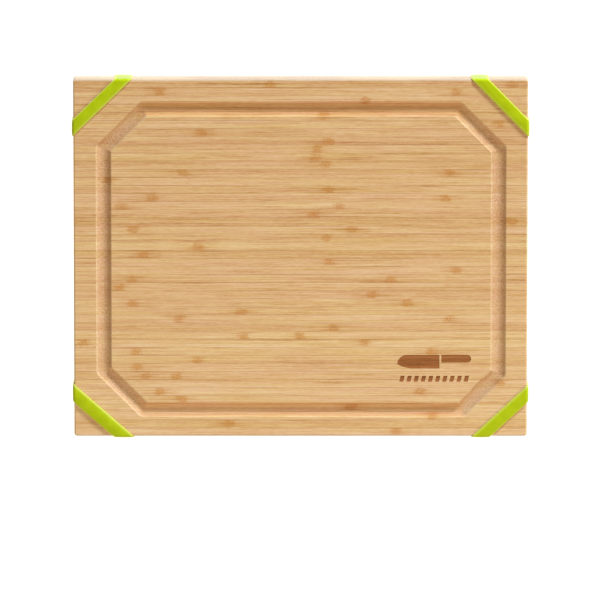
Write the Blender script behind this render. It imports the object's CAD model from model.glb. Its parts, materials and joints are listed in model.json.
"""The looks of the bamboo cutting board: grain, silicone, floor, light and camera.

The strips are the CAD solids with a bamboo material. The four bands are remade as smooth closed
meshes. Lengths are in metres, but the materials reckon in millimetres.
"""

import json
import math
import random

import bmesh
import bpy
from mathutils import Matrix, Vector

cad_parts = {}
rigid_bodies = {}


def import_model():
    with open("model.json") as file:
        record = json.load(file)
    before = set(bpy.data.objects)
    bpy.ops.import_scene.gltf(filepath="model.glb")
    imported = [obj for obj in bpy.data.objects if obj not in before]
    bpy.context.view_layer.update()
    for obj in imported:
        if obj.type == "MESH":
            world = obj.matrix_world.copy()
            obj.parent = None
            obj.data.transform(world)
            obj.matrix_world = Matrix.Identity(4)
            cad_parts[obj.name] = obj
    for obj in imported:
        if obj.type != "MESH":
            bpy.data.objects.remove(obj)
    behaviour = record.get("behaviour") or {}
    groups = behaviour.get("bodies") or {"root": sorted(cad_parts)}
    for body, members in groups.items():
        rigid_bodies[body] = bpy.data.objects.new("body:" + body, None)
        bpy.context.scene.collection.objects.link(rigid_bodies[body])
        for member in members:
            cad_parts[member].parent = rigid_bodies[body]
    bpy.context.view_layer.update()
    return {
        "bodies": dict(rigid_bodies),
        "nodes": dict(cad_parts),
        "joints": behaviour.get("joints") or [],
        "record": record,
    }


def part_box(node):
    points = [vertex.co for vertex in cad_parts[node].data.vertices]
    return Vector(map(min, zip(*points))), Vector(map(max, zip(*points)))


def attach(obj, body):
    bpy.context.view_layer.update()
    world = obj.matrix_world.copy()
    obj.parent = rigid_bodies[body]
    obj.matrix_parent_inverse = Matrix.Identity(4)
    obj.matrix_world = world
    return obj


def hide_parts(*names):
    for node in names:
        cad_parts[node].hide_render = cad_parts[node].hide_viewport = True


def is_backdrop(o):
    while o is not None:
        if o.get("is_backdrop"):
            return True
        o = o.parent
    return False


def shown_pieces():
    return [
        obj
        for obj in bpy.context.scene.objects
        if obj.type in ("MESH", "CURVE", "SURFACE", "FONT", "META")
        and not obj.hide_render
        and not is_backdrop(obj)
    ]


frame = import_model()

MM = 0.001

# The bands, as in the CAD model
BAND_WIDTHS = {
    "rear_left": 10.0 * MM,
    "rear_right": 10.0 * MM,
    "front_left": 11.4 * MM,
    "front_right": 10.6 * MM,
}
PAD_THICKNESS = 1.8 * MM
SIDE_THICKNESS = 1.2 * MM
BAND_GAP = 0.05 * MM
BAND_BEND_RADIUS = 2.8 * MM
BOARD_EDGE_RADIUS = 1.5 * MM

# Where each strip's nodes lie along it, in millimetres from the middle of the board, by the
# strip's number
CULM_NODES = {
    44: (-26, 177), 43: (-118, 130), 42: (54,), 41: (-171,), 40: (19,), 39: (165,), 38: (-83,),
    37: (23,), 36: (14,), 35: (12,), 34: (21,), 33: (-98, 124), 32: (-161,), 31: (23,),
    30: (-124, 121), 29: (32, -150), 28: (11,), 27: (176,), 26: (43, -140), 25: (22,),
    24: (-86,), 23: (-132,), 22: (24,), 21: (130,), 20: (-141, 75), 19: (-152,), 18: (60,),
    17: (-141, 89), 16: (-49,), 15: (-102, 125), 14: (28,), 13: (-1, -48), 12: (-182, 54),
    11: (-138, 110), 10: (-86,), 9: (-137,), 8: (-130, -104), 7: (167,), 6: (-118, 100),
    5: (-100,), 4: (42,), 3: (111,), 2: (-60,), 1: (80,),
}
MOST_NODES = 2
NOWHERE = 9999.0                    # a node that far away doesn't show
SEED_STEP = (977.0, 431.0, 613.0)   # how far a seed of 1 moves a strip through the noise

# The part of the face that holds the burnt mark, in millimetres
MARK_LEFT = 70.0
MARK_RIGHT = 153.0
MARK_FRONT = -112.0
MARK_REAR = -76.0

# How far from the middle of the board the groove stops running along the fibres, in millimetres
SIDE_RUNS = 140.0


def linear(red, green, blue):
    """A colour given as 0 to 255 on a screen, as the shader's linear values."""
    def convert(value):
        value /= 255
        return value / 12.92 if value <= 0.04045 else ((value + 0.055) / 1.055) ** 2.4
    return convert(red), convert(green), convert(blue), 1.0


class Tree:
    """Short calls for building a node tree. A value may be a number, a colour or a socket."""

    def __init__(self, tree):
        self.tree = tree

    def feed(self, socket, value):
        if isinstance(value, bpy.types.NodeSocket):
            self.tree.links.new(value, socket)
        else:
            socket.default_value = value

    def node(self, kind, inputs=None, **settings):
        node = self.tree.nodes.new(kind)
        for name, value in settings.items():
            setattr(node, name, value)
        for name, value in (inputs or {}).items():
            self.feed(node.inputs[name], value)
        return node

    def math(self, operation, *values):
        node = self.node("ShaderNodeMath", operation=operation)
        for socket, value in zip(node.inputs, values):
            self.feed(socket, value)
        return node.outputs[0]

    def total(self, *values):
        result = values[0]
        for value in values[1:]:
            result = self.math("ADD", result, value)
        return result

    def product(self, *values):
        result = values[0]
        for value in values[1:]:
            result = self.math("MULTIPLY", result, value)
        return result

    def centred(self, value, amount):
        """Turns 0 to 1 into minus half to plus half of the amount."""
        return self.product(self.math("SUBTRACT", value, 0.5), amount)

    def hairline(self, value, width):
        """Thin lines, where the noise passes through its middle."""
        from_middle = self.math("ABSOLUTE", self.math("SUBTRACT", value, 0.5))
        return self.rise(from_middle, 0.0, width, 1.0, 0.0)

    def vector(self, operation, *values):
        node = self.node("ShaderNodeVectorMath", operation=operation)
        for socket, value in zip(node.inputs, values):
            self.feed(socket, value)
        return node.outputs[0]

    def rise(self, value, low, high, start=0.0, end=1.0):
        """Goes smoothly from start to end as value goes from low to high."""
        return self.node(
            "ShaderNodeMapRange",
            {"Value": value, "From Min": low, "From Max": high, "To Min": start, "To Max": end},
            interpolation_type="SMOOTHSTEP",
        ).outputs["Result"]

    def mix(self, factor, first, second, blend_type="MIX"):
        node = self.node("ShaderNodeMix", data_type="RGBA", blend_type=blend_type)
        self.feed(node.inputs["Factor"], factor)
        colours = [socket for socket in node.inputs if socket.type == "RGBA"]
        self.feed(colours[0], first)
        self.feed(colours[1], second)
        return [socket for socket in node.outputs if socket.type == "RGBA"][0]

    def noise(self, place, detail=2.0, roughness=0.5, distortion=0.0):
        return self.node(
            "ShaderNodeTexNoise",
            {
                "Vector": place,
                "Scale": 1.0,
                "Detail": detail,
                "Roughness": roughness,
                "Distortion": distortion,
            },
        ).outputs["Fac"]

    def ramp(self, value, stops):
        """A colour that runs through the stops, given as (place from 0 to 1, colour)."""
        node = self.node("ShaderNodeValToRGB", {"Fac": value})
        elements = node.color_ramp.elements
        while len(elements) < len(stops):
            elements.new(0.5)
        for element, (place, colour) in zip(elements, stops):
            element.position = place
            element.color = colour
        return node.outputs["Color"]

    def place(self):
        """The point being shaded, in the object's own frame, in millimetres."""
        coordinates = self.node("ShaderNodeTexCoord").outputs["Object"]
        scale = self.node("ShaderNodeVectorMath", operation="SCALE")
        self.feed(scale.inputs[0], coordinates)
        scale.inputs["Scale"].default_value = 1 / MM
        return scale.outputs[0]

    def split(self, vector):
        return self.node("ShaderNodeSeparateXYZ", {0: vector}).outputs


class Bamboo(Tree):
    """The nodes that work out how a strip looks at one point. All lengths are in millimetres."""

    def __init__(self, tree, board_top, half_width):
        super().__init__(tree)
        self.given = self.node("NodeGroupInput").outputs
        place = self.place()
        self.x, self.y, z = self.split(place)
        self.own = self.vector("ADD", place, self.vector("MULTIPLY", SEED_STEP, self.given["Seed"]))
        from_front = self.math("SUBTRACT", self.y, self.given["Front"])
        self.across = self.math("DIVIDE", from_front, self.given["Width"])
        self.off_middle = self.math("SUBTRACT", self.across, 0.5)
        self.depth = self.math("SUBTRACT", board_top, z)
        self.half_width = half_width
        self.short_strand = self.grain(38, 0.65, 2.0, 0.75)
        self.fibre = self.grain(6, 0.7, 2.0, 0.7)
        self.sand = self.noise(self.vector("MULTIPLY", self.own, (0.9, 1.3, 1.3)), 2.0, 0.7)
        self.find_cuts()

    def grain(self, length, thickness, detail=2.0, roughness=0.5):
        """Noise drawn out along the fibres to this length, and this thick across them."""
        scaled = self.vector("MULTIPLY", self.own, (1 / length, 1 / thickness, 1 / thickness))
        return self.noise(scaled, detail, roughness)

    def find_cuts(self):
        """Finds the groove, the fibres that are torn, and the burnt mark, each from 0 to 1.

        The groove tears the fibres wherever it doesn't run along them, and so do the board's
        ends: there the surface is sandy, and the lines fade.
        """
        near_top = self.rise(self.depth, 4.0, 5.0, 1.0, 0.0)
        self.in_groove = self.product(self.rise(self.depth, 0.45, 2.2), near_top)
        self.oiled = self.product(self.rise(self.depth, 0.1, 1.4), near_top)
        beside = self.rise(self.math("ABSOLUTE", self.x), SIDE_RUNS - 8.0, SIDE_RUNS)
        normal = self.split(self.node("ShaderNodeNewGeometry").outputs["Normal"])
        end_grain = self.rise(self.math("ABSOLUTE", normal[0]), 0.1, 0.7)
        self.torn = self.math("MAXIMUM", self.product(self.in_groove, beside), end_grain)
        self.lines_left = self.math("SUBTRACT", 1.0, self.product(self.torn, 0.7))
        # The mark is the only cut that is as shallow as this
        self.burnt = self.product(
            self.rise(self.depth, 0.04, 0.16),
            self.rise(self.depth, 0.34, 0.4, 1.0, 0.0),
            self.rise(self.x, MARK_LEFT, MARK_LEFT + 1.0),
            self.rise(self.x, MARK_RIGHT - 1.0, MARK_RIGHT, 1.0, 0.0),
            self.rise(self.y, MARK_FRONT, MARK_FRONT + 1.0),
            self.rise(self.y, MARK_REAR - 1.0, MARK_REAR, 1.0, 0.0),
        )

    def fibre_lightness(self):
        """The fibres, from soft clouds down to single bundles."""
        streak = self.rise(self.grain(110, 2.6, 2.0, 0.6), 0.3, 0.7)
        dark_lines = self.product(
            self.hairline(self.grain(150, 1.5, 1.0), 0.06),
            self.rise(self.grain(45, 2.2), 0.46, 0.6),
        )
        lines = self.total(
            self.centred(self.grain(50, 6, 1.0), 0.16),
            self.centred(streak, 0.1),
            self.centred(self.grain(210, 0.7, 2.0, 0.75), 0.9),
            self.centred(self.short_strand, 0.8),
            self.centred(self.fibre, 0.6),
            self.product(dark_lines, -0.22),
        )
        return self.total(
            0.6,
            self.product(self.lines_left, lines),
            self.given["Tone"],
            self.product(self.off_middle, self.given["Lean"]),
            self.product(self.centred(self.sand, 1.7), self.torn),
        )

    def culm_node(self):
        """A culm's node: a swirl among short dashes, with tails that run out along the strip.

        Gives its core, its rings and its tails, each from 0 to 1.
        """
        nearest = NOWHERE
        for number in range(MOST_NODES):
            distance = self.math("SUBTRACT", self.x, self.given[f"Node {number}"])
            nearest = self.math("MINIMUM", self.math("ABSOLUTE", distance), nearest)
        aside = self.total(self.off_middle, self.product(self.given["Lean"], 1.5))
        oval = self.math("SQRT", self.total(
            self.math("POWER", self.math("DIVIDE", nearest, 6.0), 2.0),
            self.math("POWER", self.math("DIVIDE", aside, 0.7), 2.0),
        ))
        ragged = self.total(oval, self.centred(self.grain(3.0, 2.0, 2.0, 0.6), 1.4))
        spread = self.rise(ragged, 0.2, 1.15, 1.0, 0.0)
        core = self.product(spread, self.rise(self.grain(9, 0.75, 2.0, 0.7), 0.38, 0.6, 0.3, 1.0))
        swirl = self.noise(self.vector("MULTIPLY", self.own, (0.3, 0.6, 0.6)), 2.0, 0.6, 3.0)
        rings = self.product(self.hairline(swirl, 0.06), spread)
        tail = self.math("POWER", self.rise(nearest, 2.0, 30.0, 1.0, 0.0), 2.0)
        tail = self.product(tail, self.rise(self.grain(60, 1.2), 0.47, 0.6))
        return core, rings, tail

    def bamboo_colour(self, lightness, core, tail):
        """Raw bamboo. Some fibres are yellower and some pinker."""
        colour = self.ramp(lightness, [
            (0.0, linear(160, 108, 56)),
            (0.3, linear(204, 158, 102)),
            (0.55, linear(221, 184, 133)),
            (0.78, linear(231, 201, 155)),
            (1.0, linear(240, 218, 180)),
        ])
        colour = self.mix(self.product(core, 0.6), colour, linear(210, 146, 72))
        colour = self.mix(self.product(tail, 0.25), colour, linear(206, 148, 80))
        warmth = self.total(
            self.grain(90, 1.2, 2.0, 0.65),
            self.centred(self.grain(70, 5, 1.0), 0.5),
            self.given["Blush"],
        )
        tint = self.ramp(self.rise(warmth, 0.25, 0.75), [
            (0.0, linear(255, 254, 232)),
            (1.0, linear(255, 244, 246)),
        ])
        return self.mix(0.95, colour, tint, "MULTIPLY")

    def glue_line(self):
        """The line at either edge of the strip, stronger in some stretches than in others."""
        from_edge = self.math("MINIMUM", self.across, self.math("SUBTRACT", 1.0, self.across))
        seam = self.rise(self.product(from_edge, self.given["Width"]), 0.1, 0.5, 1.0, 0.0)
        strength = self.rise(self.grain(60, 30), 0.4, 0.62, 0.1, 0.6)
        return self.product(seam, strength, self.lines_left)

    def finished_colour(self, colour, lightness, seam):
        """What gluing, cutting, oiling and burning do to the colour."""
        colour = self.mix(seam, colour, linear(166, 114, 66))
        # Cut fibres drink more oil, so the groove is darker than the face, and torn ones are greyer
        colour = self.mix(self.oiled, colour, linear(244, 228, 219), "MULTIPLY")
        colour = self.mix(self.product(self.torn, 0.7), colour, linear(248, 264, 290), "MULTIPLY")
        # The board's long sides show the flat of the culm's wall, which is paler
        from_middle = self.math("ABSOLUTE", self.y)
        side = self.rise(from_middle, self.half_width - 1.6, self.half_width - 0.4)
        colour = self.mix(self.product(side, 0.6), colour, linear(176, 168, 152))
        char = self.ramp(lightness, [(0.2, linear(110, 56, 18)), (0.8, linear(170, 98, 42))])
        return self.mix(self.product(self.burnt, 0.9), colour, char)

    def roughness(self):
        """Cut and torn fibres are matt."""
        return self.total(
            0.6,
            self.centred(self.fibre, -0.25),
            self.product(self.in_groove, 0.12),
            self.product(self.torn, 0.2),
            self.product(self.burnt, 0.25),
        )

    def height(self, seam):
        """The relief for the bump."""
        return self.total(
            self.product(self.fibre, 0.02),
            self.product(self.short_strand, 0.02),
            self.product(self.sand, self.torn, 0.15),
            self.product(seam, -0.02),
        )


def bamboo_group(board_top, half_width):
    """The node group that every strip's material uses."""
    group = bpy.data.node_groups.new("bamboo", "ShaderNodeTree")
    inputs = ["Front", "Width", "Seed", "Tone", "Lean", "Blush"]
    inputs += [f"Node {number}" for number in range(MOST_NODES)]
    for name in inputs:
        group.interface.new_socket(name, in_out="INPUT", socket_type="NodeSocketFloat")
    group.interface.new_socket("Color", in_out="OUTPUT", socket_type="NodeSocketColor")
    for name in ("Roughness", "Height"):
        group.interface.new_socket(name, in_out="OUTPUT", socket_type="NodeSocketFloat")
    bamboo = Bamboo(group, board_top, half_width)
    core, rings, tail = bamboo.culm_node()
    lightness = bamboo.total(
        bamboo.fibre_lightness(),
        bamboo.product(tail, -0.16),
        bamboo.product(rings, -0.7),
    )
    seam = bamboo.glue_line()
    colour = bamboo.bamboo_colour(lightness, core, tail)
    out = bamboo.node("NodeGroupOutput").inputs
    bamboo.feed(out["Color"], bamboo.finished_colour(colour, lightness, seam))
    bamboo.feed(out["Roughness"], bamboo.roughness())
    bamboo.feed(out["Height"], bamboo.height(seam))
    return group


def strip_material(group, node_name, number, draw):
    """The bamboo group, set up for one strip. Strips are a little paler towards the front."""
    paler_to_front = 0.4    # lightness for each metre
    material = bpy.data.materials.new(node_name)
    material.use_nodes = True
    material.node_tree.nodes.clear()
    t = Tree(material.node_tree)
    low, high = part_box(node_name)
    culm_nodes = list(CULM_NODES.get(number, ())) + [NOWHERE] * MOST_NODES
    settings = {
        "Front": low.y / MM,
        "Width": (high.y - low.y) / MM,
        "Seed": draw.uniform(-1, 1),
        "Tone": draw.gauss(0, 0.045) - paler_to_front * (low.y + high.y) / 2,
        "Lean": draw.choice((-1, 1)) * draw.uniform(0.03, 0.16),
        "Blush": draw.gauss(0, 0.07),
    }
    for place in range(MOST_NODES):
        settings[f"Node {place}"] = float(culm_nodes[place])
    bamboo = t.node("ShaderNodeGroup", node_tree=group)
    for name, value in settings.items():
        bamboo.inputs[name].default_value = value
    bump = t.node(
        "ShaderNodeBump", {"Height": bamboo.outputs["Height"], "Strength": 0.6, "Distance": MM}
    )
    shader = t.node("ShaderNodeBsdfPrincipled", {
        "Base Color": bamboo.outputs["Color"],
        "Roughness": bamboo.outputs["Roughness"],
        "Normal": bump.outputs["Normal"],
        "Specular IOR Level": 0.35,
    })
    output = t.node("ShaderNodeOutputMaterial")
    t.feed(output.inputs["Surface"], shader.outputs["BSDF"])
    return material


def finish_strips():
    """Gives every strip its own piece of bamboo."""
    strips = sorted(name for name in frame["nodes"] if name.startswith("bamboo_strip"))
    board_top = max(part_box(name)[1].z for name in strips) / MM
    half_width = max(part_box(name)[1].y for name in strips) / MM
    group = bamboo_group(board_top, half_width)
    draw = random.Random(7)
    for number, name in enumerate(strips, start=1):
        strip = frame["nodes"][name]
        strip.data.materials.clear()
        strip.data.materials.append(strip_material(group, name, number, draw))


def silicone_material():
    """Matt green silicone, which lets a little light through."""
    material = bpy.data.materials.new("green_silicone")
    material.use_nodes = True
    material.node_tree.nodes.clear()
    t = Tree(material.node_tree)
    place = t.place()
    mottle = t.noise(t.vector("MULTIPLY", place, (0.12, 0.12, 0.12)), 3.0)
    skin = t.noise(t.vector("MULTIPLY", place, (3.0, 3.0, 3.0)), 2.0)
    colour = t.ramp(mottle, [
        (0.3, linear(176, 194, 2)),
        (0.7, linear(186, 206, 10)),
    ])
    # The thin edges let light through, so they look paler and yellower
    edge = t.node("ShaderNodeAttribute", attribute_name="edge").outputs["Fac"]
    rim = t.rise(t.math("ABSOLUTE", edge), 0.84, 0.99)
    drawn_thin = t.product(t.rise(edge, -0.72, -0.58, 1.0, 0.0), 0.35)
    paleness = t.math("MAXIMUM", t.product(rim, 0.75), drawn_thin)
    colour = t.mix(paleness, colour, linear(220, 224, 100))
    # The skin that is stretched round the board's sides is paler and greyer
    levelness = t.math("ABSOLUTE", t.split(t.node("ShaderNodeNewGeometry").outputs["Normal"])[2])
    inside_rims = t.math("SUBTRACT", 1.0, rim)
    stretched = t.product(t.rise(levelness, 0.2, 0.8, 1.0, 0.0), inside_rims, 0.8)
    colour = t.mix(stretched, colour, linear(160, 170, 95))
    bump = t.node("ShaderNodeBump", {"Height": skin, "Strength": 0.25, "Distance": 0.05 * MM})
    shader = t.node("ShaderNodeBsdfPrincipled", {
        "Base Color": colour,
        "Roughness": t.rise(skin, 0.3, 0.7, 0.42, 0.56),
        "Normal": bump.outputs["Normal"],
        "Subsurface Weight": 0.3,
        "Subsurface Radius": (1.0, 1.0, 0.2),
        "Subsurface Scale": 1.5 * MM,
        "Specular IOR Level": 0.3,
        "IOR": 1.41,
    })
    output = t.node("ShaderNodeOutputMaterial")
    t.feed(output.inputs["Surface"], shader.outputs["BSDF"])
    return material


def half_section(rounding):
    """Half of a band's section, from its edge to its middle. The rounding is of the half width."""
    rounding_depth = 0.42   # of the thickness
    crown = 0.14            # the middle stands this much higher than the sides
    steps = 6
    half = [(1.0, 0.0), (1.0, (1 - rounding_depth) / 2)]
    for step in range(steps + 1):
        angle = math.pi / 2 * step / steps
        across = 1 - rounding * (1 - math.cos(angle))
        share = 1 - crown - rounding_depth * (1 - math.sin(angle))
        half.append((across, share))
    for place in (0.85, 0.65, 0.35):
        half.append((place * (1 - rounding), 1 - crown * place ** 2))
    return half


def band_section():
    """A band's section: (place across, from -1 to 1; share of the full thickness, from 0 to 1).

    The outer edge, at 1, is tight. The inner edge is drawn out by the stretch.
    """
    inner = [(-across, share) for across, share in reversed(half_section(0.4))]
    return half_section(0.15) + [(0.0, 1.0)] + inner


def band_profile(low, high):
    """A band's way round the board between these heights, as pairs of points, inner and outer.

    A point is (end, distance beyond the board's side there, height). The end is 0 or 1.
    """
    bend_steps = 10
    inner_radius = BOARD_EDGE_RADIUS + BAND_GAP
    bends = [
        (0, high, 1, (90, 180)),
        (0, low, -1, (180, 270)),
        (1, low, -1, (270, 360)),
        (1, high, 1, (0, 90)),
    ]
    points = []
    for end, level, up, (start, stop) in bends:
        for step in range(bend_steps + 1):
            angle = math.radians(start + (stop - start) * step / bend_steps)
            beyond, rise = abs(math.cos(angle)), abs(math.sin(angle))
            inner = (
                end,
                BAND_GAP - inner_radius * (1 - beyond),
                level + up * (BAND_GAP - inner_radius * (1 - rise)),
            )
            outer = (
                end,
                BAND_GAP + SIDE_THICKNESS - BAND_BEND_RADIUS * (1 - beyond),
                level + up * (BAND_GAP + PAD_THICKNESS - BAND_BEND_RADIUS * (1 - rise)),
            )
            points.append((inner, outer))
    return points


def make_band(corner, material, board_low, board_high):
    """One band as a closed mesh, in the place of its CAD node."""
    joint = next(j for j in frame["joints"] if j["name"] == f"pull_off_{corner}")
    mount = next(m for m in frame["record"]["mounts"] if m["name"] == f"worktop_pad_{corner}")
    outward = Vector(joint["axis"])
    middle = Vector(mount["pos_m"])
    along = Vector((-outward.y, outward.x, 0))
    side_x = board_high.x if outward.x > 0 else board_low.x
    side_y = board_high.y if outward.y > 0 else board_low.y
    profile = band_profile(board_low.z, board_high.z)
    section = band_section()

    def ends(across):
        """Where the band's line at this place across crosses the board's two sides."""
        start = middle + outward * (across * BAND_WIDTHS[corner] / 2)
        on_x = start + along * ((side_x - start.x) / along.x)
        on_y = start + along * ((side_y - start.y) / along.y)
        return on_x, on_y

    def point(across, place):
        end, beyond, height = place
        on_x, on_y = ends(across)
        here, there = (on_x, on_y) if end == 0 else (on_y, on_x)
        direction = (here - there).normalized()
        steepness = abs(direction.x) if end == 0 else abs(direction.y)
        spot = here + direction * (beyond / steepness)
        return Vector((spot.x, spot.y, height))

    mesh = bmesh.new()
    rings = []
    for inner, outer in profile:
        ring = []
        for across, share in section:
            ring.append(mesh.verts.new(point(across, inner).lerp(point(across, outer), share)))
        rings.append(ring)
    for ring, following in zip(rings, rings[1:] + rings[:1]):
        for place in range(len(section)):
            beside = (place + 1) % len(section)
            mesh.faces.new((ring[place], ring[beside], following[beside], following[place]))
    bmesh.ops.recalc_face_normals(mesh, faces=mesh.faces)
    data = bpy.data.meshes.new(f"corner_band_{corner}")
    mesh.to_mesh(data)
    mesh.free()
    edge = data.attributes.new("edge", "FLOAT", "POINT")
    edge.data.foreach_set("value", [across for across, share in section] * len(profile))
    data.shade_smooth()
    data.set_sharp_from_angle(angle=math.radians(50))
    data.materials.append(material)
    band = bpy.data.objects.new(data.name, data)
    bpy.context.scene.collection.objects.link(band)
    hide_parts(f"silicone_band_{corner}")
    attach(band, f"band_{corner}")
    return band


def make_bands():
    """All four bands."""
    strips = [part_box(name) for name in frame["nodes"] if name.startswith("bamboo_strip")]
    low = Vector([min(box[0][axis] for box in strips) for axis in range(3)])
    high = Vector([max(box[1][axis] for box in strips) for axis in range(3)])
    material = silicone_material()
    for body in frame["bodies"]:
        if body.startswith("band_"):
            make_band(body.removeprefix("band_"), material, low, high)


def floor_material():
    """A plain, almost white floor."""
    material = bpy.data.materials.new("floor")
    material.use_nodes = True
    shader = material.node_tree.nodes["Principled BSDF"]
    shader.inputs["Base Color"].default_value = (0.9, 0.9, 0.9, 1)
    shader.inputs["Roughness"].default_value = 0.9
    shader.inputs["Specular IOR Level"].default_value = 0.0
    return material


def make_floor():
    """A wide disc at the height of the worktop."""
    radius = 40.0
    corners = 96
    mesh = bmesh.new()
    bmesh.ops.create_circle(mesh, cap_ends=True, segments=corners, radius=radius)
    data = bpy.data.meshes.new("floor")
    mesh.to_mesh(data)
    mesh.free()
    data.materials.append(floor_material())
    floor = bpy.data.objects.new("floor", data)
    bpy.context.scene.collection.objects.link(floor)
    floor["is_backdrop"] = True
    return floor


def add_light(light, towards, distance, receivers):
    """Puts a light in this direction. It lights, and is shaded by, the receivers alone."""
    lamp = bpy.data.objects.new(light.name, light)
    lamp.location = Vector(towards).normalized() * distance
    lamp.rotation_euler = (-lamp.location).to_track_quat("-Z", "Y").to_euler()
    lamp.visible_camera = False
    bpy.context.scene.collection.objects.link(lamp)
    linked = bpy.data.collections.new(f"{light.name}_receivers")
    for item in receivers:
        linked.objects.link(item)
    lamp.light_linking.receiver_collection = linked
    lamp.light_linking.blocker_collection = linked
    return lamp


def make_sky():
    """An even, slightly warm sky, which the camera sees as plain white."""
    world = bpy.data.worlds.new("studio")
    bpy.context.scene.world = world
    world.use_nodes = True
    world.node_tree.nodes.clear()
    t = Tree(world.node_tree)
    light = t.node("ShaderNodeBackground", {"Color": (1.0, 0.895, 0.77, 1), "Strength": 0.36})
    seen = t.node("ShaderNodeBackground", {"Color": (1.0, 1.0, 1.0, 1), "Strength": 1.0})
    pick = t.node("ShaderNodeMixShader", {
        0: t.node("ShaderNodeLightPath").outputs["Is Camera Ray"],
        1: light.outputs["Background"],
        2: seen.outputs["Background"],
    })
    t.node("ShaderNodeOutputWorld", {"Surface": pick.outputs["Shader"]})


def area_light(name, size, energy, colour):
    light = bpy.data.lights.new(name, "AREA")
    light.size = size
    light.energy = energy
    light.color = colour
    return light


def light_scene(floor):
    """A low, cool key light from the rear right and a soft, warm fill from the front.

    The floor has a light of its own, so it stays free of hard shade.
    """
    make_sky()
    key = area_light("key", 1.5, 873.0, (0.9, 1.025, 1.22))
    lamp = add_light(key, (0.61, 1.22, 0.42), 8.0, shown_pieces())
    lamp.visible_glossy = False     # or the face glares when it is seen from the front left
    fill = area_light("fill", 1.25, 33.5, (1.0, 0.855, 0.67))
    add_light(fill, (0.2, -0.84, 0.54), 2.5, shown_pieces())
    wash = bpy.data.lights.new("floor_wash", "SUN")
    wash.energy = 3.2
    add_light(wash, (0.0, 0.0, 1.0), 4.0, [floor])
    bpy.context.scene.view_settings.view_transform = "Standard"


def add_camera():
    """A very long lens, almost straight above the board and a little to the rear."""
    tilt = math.radians(10.1)
    seen_width = 502.85 * MM
    aim = Vector((-0.5 * MM, -35.7 * MM, 20 * MM))
    data = bpy.data.cameras.new("camera")
    data.lens = 600
    data.sensor_width = 36
    distance = seen_width * data.lens / data.sensor_width
    data.clip_start = distance / 100
    data.clip_end = distance * 10
    camera = bpy.data.objects.new("camera", data)
    camera.location = aim + Vector((0, math.sin(tilt), math.cos(tilt))) * distance
    camera.rotation_euler = (-tilt, 0, 0)
    bpy.context.scene.collection.objects.link(camera)
    bpy.context.scene.camera = camera


finish_strips()
make_bands()
light_scene(make_floor())
add_camera()
